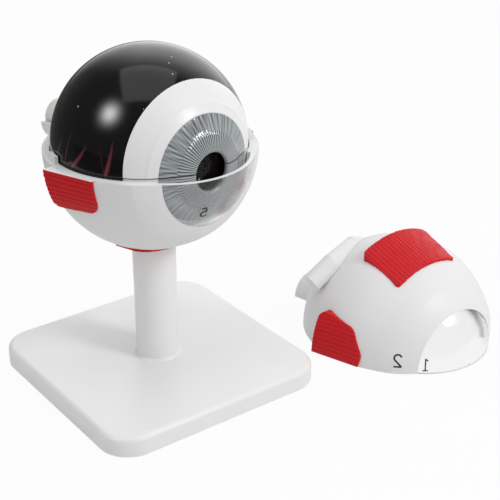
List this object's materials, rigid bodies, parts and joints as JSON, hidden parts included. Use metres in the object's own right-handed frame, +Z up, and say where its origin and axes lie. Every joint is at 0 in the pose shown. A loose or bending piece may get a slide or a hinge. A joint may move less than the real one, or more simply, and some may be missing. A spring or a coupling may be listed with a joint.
{
  "type": "eye anatomy model",
  "caption": "Take-apart anatomical eye on a post and square base, with its upper outer shell lifted off and laid beside it.",
  "frame": {"origin": "centre of the base plate's flat underside, on the table", "axes": "+Z up along the post; the eye looks towards -Y, turned about 5 degrees on its post; +X to the lifted shell"},
  "size_m": [0.1817, 0.1174, 0.1274],
  "materials": {
    "stand_plastic": "satin white moulded plastic",
    "screw_steel": "plain steel screw",
    "sclera_plastic": "satin white moulded plastic",
    "clear_plastic": "polished clear plastic",
    "muscle_red": "red paint over moulded fibre ribs",
    "choroid_black": "glossy black paint with red vessel strokes",
    "retina_red": "orange-red paint with fine vessels",
    "band_white": "glossy white plastic",
    "iris_grey": "blue-grey paint over radial pleats",
    "ciliary_brown": "red-brown paint over radial folds",
    "nerve_white": "glossy off-white plastic",
    "clear_body": "clear cast plastic",
    "clear_lens": "clear polished plastic"
  },
  "bodies": {
    "root": {"base_plate": "stand_plastic", "post": "stand_plastic", "globe_screw": "screw_steel", "sclera_lower": "sclera_plastic", "cornea_lower": "clear_plastic", "medial_rectus_lower": "muscle_red", "lateral_rectus_lower": "muscle_red", "inferior_rectus": "muscle_red", "inferior_oblique": "sclera_plastic"},
    "lower_ball": {"choroid_lower": "choroid_black", "retina_lower": "retina_red", "front_band_lower": "band_white", "iris_lower": "iris_grey", "ciliary_body_lower": "ciliary_brown", "optic_nerve_lower": "nerve_white"},
    "vitreous": {"vitreous_body": "clear_body"},
    "eye_lens": {"lens": "clear_lens"},
    "upper_ball": {"choroid_upper": "choroid_black", "retina_upper": "retina_red", "front_band_upper": "band_white", "iris_upper": "iris_grey", "ciliary_body_upper": "ciliary_brown", "optic_nerve_upper": "nerve_white"},
    "upper_shell": {"sclera_upper": "sclera_plastic", "cornea_upper": "clear_plastic", "medial_rectus_upper": "muscle_red", "lateral_rectus_upper": "muscle_red", "superior_rectus": "muscle_red", "superior_oblique": "sclera_plastic"}
  },
  "joints": [
    {"name": "lift_lower_ball", "type": "slide", "parent": "root", "child": "lower_ball", "axis": [0, 0, 1], "range_m": [0, 0.045]},
    {"name": "lift_vitreous", "type": "slide", "parent": "lower_ball", "child": "vitreous", "axis": [0, 0, 1], "range_m": [0, 0.04]},
    {"name": "lift_lens", "type": "slide", "parent": "vitreous", "child": "eye_lens", "axis": [0, 0, 1], "range_m": [0, 0.05]},
    {"name": "lift_upper_ball", "type": "slide", "parent": "eye_lens", "child": "upper_ball", "axis": [0, 0, 1], "range_m": [0, 0.04]},
    {"name": "lift_upper_shell", "type": "slide", "parent": "root", "child": "upper_shell", "axis": [0, 0, 1], "range_m": [0, 0.14]}
  ]
}
